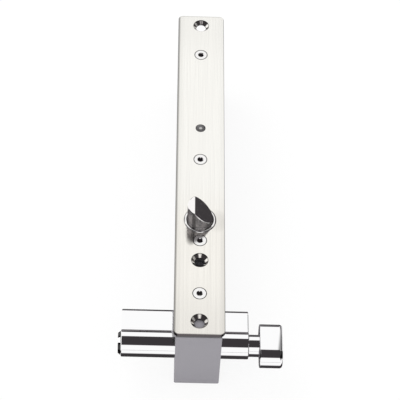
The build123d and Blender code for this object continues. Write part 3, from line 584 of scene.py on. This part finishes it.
plate_steel = plate_finish("plate_steel", PLATE_STEEL, PLATE_SHADED_SIDE)
case_paint = case_finish("case_paint", CASE_GREY)
chrome = polished("chrome", CHROME, CHROME_GRAIN)
plug_chrome = plug_finish("plug_chrome", CHROME)
knob_chrome = knob_finish("knob_chrome", CHROME)
bolt_steel = bolt_finish("bolt_steel", BOLT_STEEL)
bush_steel = bush_finish("bush_steel", BUSH_STEEL)
screw_steel = screw_finish("screw_steel", SCREW_STEEL)
tool_steel = grained_metal("tool_steel", (0.50, 0.50, 0.50), ALONG_Y, rough=0.32, depth=0.10)
zinc = grained_metal("zinc", (0.62, 0.63, 0.64), ALONG_Y, rough=0.38, depth=0.10)
dark_steel = powder_coat("dark_steel", (0.045, 0.045, 0.048), rough=0.42)
brass = polished("brass", (0.78, 0.58, 0.24), depth=0.2)
bronze = polished("bronze", (0.60, 0.42, 0.22), depth=0.3)
copper = windings("copper", (0.62, 0.26, 0.11))
black_plastic = moulded("black_plastic", (0.030, 0.030, 0.033), rough=0.45)
white_plastic = moulded("white_plastic", (0.72, 0.72, 0.69), rough=0.45)
green_block = moulded("green_block", (0.04, 0.30, 0.12), rough=0.35)
blue_relay = moulded("blue_relay", (0.04, 0.14, 0.42), rough=0.30)
rubber = moulded("rubber", (0.022, 0.022, 0.022), rough=0.65)
led_red = moulded("led_red", (0.50, 0.03, 0.03), rough=0.15)
board_green = circuit("board_green", (0.02, 0.17, 0.07))
lens_dark = smoked_lens("lens_dark", LENS_SMOKE)

FINISH = {
    "faceplate": plate_steel, "case_body": case_paint, "case_cover": case_paint,
    "cover_screws": dark_steel, "faceplate_screws": screw_steel,
    "cylinder_screw": screw_steel, "bolt_bush": bush_steel, "bolt": bolt_steel,
    "bolt_magnet": zinc, "drive_pin": tool_steel, "bolt_spring": tool_steel,
    "guide_bracket": zinc, "bracket_screws": dark_steel, "release_lever": tool_steel,
    "lever_cross_pin": tool_steel, "pivot_pin": tool_steel, "solenoid_frame": zinc,
    "solenoid_bobbin": black_plastic, "solenoid_coil": copper, "solenoid_core": tool_steel,
    "solenoid_plunger": chrome, "solenoid_screws": dark_steel, "key_slide": zinc,
    "slide_studs": tool_steel, "euro_cylinder": chrome, "key_plug": plug_chrome,
    "key_pins": brass, "driver_pins": brass, "pin_springs": bronze,
    "cylinder_cam": tool_steel, "thumbturn_spindle": chrome, "thumbturn_knob": knob_chrome,
    "knob_screw": dark_steel, "control_board": board_green, "board_screws": zinc,
    "status_lens": lens_dark, "status_led": led_red, "terminal_block": green_block,
    "relay": blue_relay, "capacitor": black_plastic, "controller_chip": black_plastic,
    "door_sensor": white_plastic, "cable_gland": rubber,
}
for node, finish in FINISH.items():
    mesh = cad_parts[node].data
    mesh.materials.clear()
    mesh.materials.append(finish.material)


def add_camera():
    elevation, yaw, roll = (math.radians(a) for a in (VIEW_ELEVATION, VIEW_YAW, VIEW_ROLL))
    turn = Matrix.Rotation(yaw, 3, "Y")
    back = turn @ Vector((0.0, -math.cos(elevation), math.sin(elevation)))
    level = turn @ Vector((1.0, 0.0, 0.0))
    rising = turn @ Vector((0.0, math.sin(elevation), math.cos(elevation)))
    right = math.cos(roll) * level + math.sin(roll) * rising
    up = math.cos(roll) * rising - math.sin(roll) * level
    place = VIEW_PIVOT - VIEW_RIGHT * right - VIEW_UP * up + VIEW_DISTANCE * back
    data = bpy.data.cameras.new("photo_camera")
    data.lens, data.sensor_width = LENS_MM, SENSOR_MM
    data.sensor_fit = "HORIZONTAL"
    camera = bpy.data.objects.new("photo_camera", data)
    axes = Matrix((right, up, back)).transposed()
    camera.matrix_world = Matrix.Translation(place) @ axes.to_4x4()
    bpy.context.scene.collection.objects.link(camera)
    bpy.context.scene.camera = camera


def mirrored_light(graph, bright):
    """Strength of white surroundings that are only as bright as said where polished metal
    mirrors them, and dimmer in its depths. Also the shares of mirrored and camera rays."""
    ray = graph.node("LightPath").outputs
    unscattered = graph.math("LESS_THAN", ray["Diffuse Depth"], FIRST_DEPTH)
    mirrored = graph.product(ray["Is Glossy Ray"], unscattered)
    bright = graph.largest(bright, DARK)
    first = graph.dim(ray["Is Singular Ray"], bright)
    deep = graph.math("MULTIPLY_ADD", bright, SECOND_FACTOR, SECOND_LIFT)
    deep = graph.blend(graph.math("GREATER_THAN", ray["Glossy Depth"], THIRD_DEPTH), deep, DARK)
    second = graph.math("GREATER_THAN", ray["Glossy Depth"], SECOND_DEPTH)
    strength = graph.dim(mirrored, graph.blend(second, first, deep))
    return strength, mirrored, ray["Is Camera Ray"]


def tinted(graph, strength):
    """White where the strength is full, the flags' own tint where it is low."""
    return graph.blend_colour(strength, DARK_TINT, WHITE)


def clear_of_flags(graph, direction):
    """0 where a black flag stands in that direction from the object, else 1."""
    unit = graph.vector("NORMALIZE", direction)
    across = graph.size(graph.split(unit)[0])
    clear = 1.0
    for centre, angles, strip in FLAGS:
        toward = graph.measure("DOT_PRODUCT", unit, Vector(centre).normalized())
        limits = [math.cos(math.radians(angle)) for angle in angles]
        outside = graph.largest(graph.step(toward, limits), graph.step(across, strip))
        clear = graph.product(outside, clear)
    return clear


def floor_finish(name):
    """White that keeps a soft shadow. Polished metal sees a black card round the object."""
    floor = Finish(name, FLOOR_WHITE, 0.0, FLOOR_ROUGH)
    floor.put("Specular IOR Level", 0.0)
    position = floor.node("NewGeometry").outputs["Position"]
    x, y, _ = floor.split(position)
    past_card = floor.largest(floor.step(floor.size(x), CARD_X), floor.step(y, CARD_NEAR),
                              floor.step(y, CARD_FAR))
    off_line = floor.step(floor.size(floor.less(y, LINE_Y)), LINE_REACH)
    bright = floor.product(past_card, clear_of_flags(floor, position),
                           floor.blend(off_line, LINE_TONE, 1.0))
    strength, mirrored, camera = mirrored_light(floor, bright)
    glow = floor.node("Emission", tinted(floor, strength), strength).outputs["Emission"]
    share = floor.largest(floor.product(camera, FLOOR_GLOW), mirrored)
    surface = floor.node("MixShader", share, floor.shader.outputs["BSDF"], glow)
    floor.feed(floor.nodes["Material Output"].inputs["Surface"], surface.outputs["Shader"])
    return floor


def add_floor():
    signs = (-1, -1), (1, -1), (1, 1), (-1, 1)
    mesh = bpy.data.meshes.new("floor")
    corners = [(FLOOR_HALF * x, FLOOR_HALF * y, FLOOR_Z) for x, y in signs]
    mesh.from_pydata(corners, [], [range(len(corners))])
    mesh.materials.append(floor_finish("floor_white").material)
    floor = bpy.data.objects.new("floor", mesh)
    bpy.context.scene.collection.objects.link(floor)


def add_world():
    """White surroundings. Polished metal sees the black flags in them."""
    world = bpy.data.worlds.new("studio")
    bpy.context.scene.world = world
    sky = Graph(world)
    sky.nodes.clear()
    direction = sky.node("TexCoord").outputs["Generated"]
    strength = mirrored_light(sky, clear_of_flags(sky, direction))[0]
    background = sky.node("Background", tinted(sky, strength), strength)
    sky.node("OutputWorld", background.outputs["Background"])


def add_softbox(name, place, size, watts):
    data = bpy.data.lights.new(name, "AREA")
    data.shape = "RECTANGLE"
    data.size, data.size_y = size
    data.energy = watts
    lamp = bpy.data.objects.new(name, data)
    lamp.visible_glossy = False
    aim = (VIEW_PIVOT - Vector(place)).to_track_quat("-Z", "Y")
    lamp.matrix_world = Matrix.Translation(place) @ aim.to_matrix().to_4x4()
    bpy.context.scene.collection.objects.link(lamp)


add_camera()
add_floor()
add_world()
add_softbox("key", place=(-0.5, 0.5, 0.9), size=(0.6, 0.6), watts=3.0)

scene = bpy.context.scene
scene.view_settings.view_transform = "Standard"
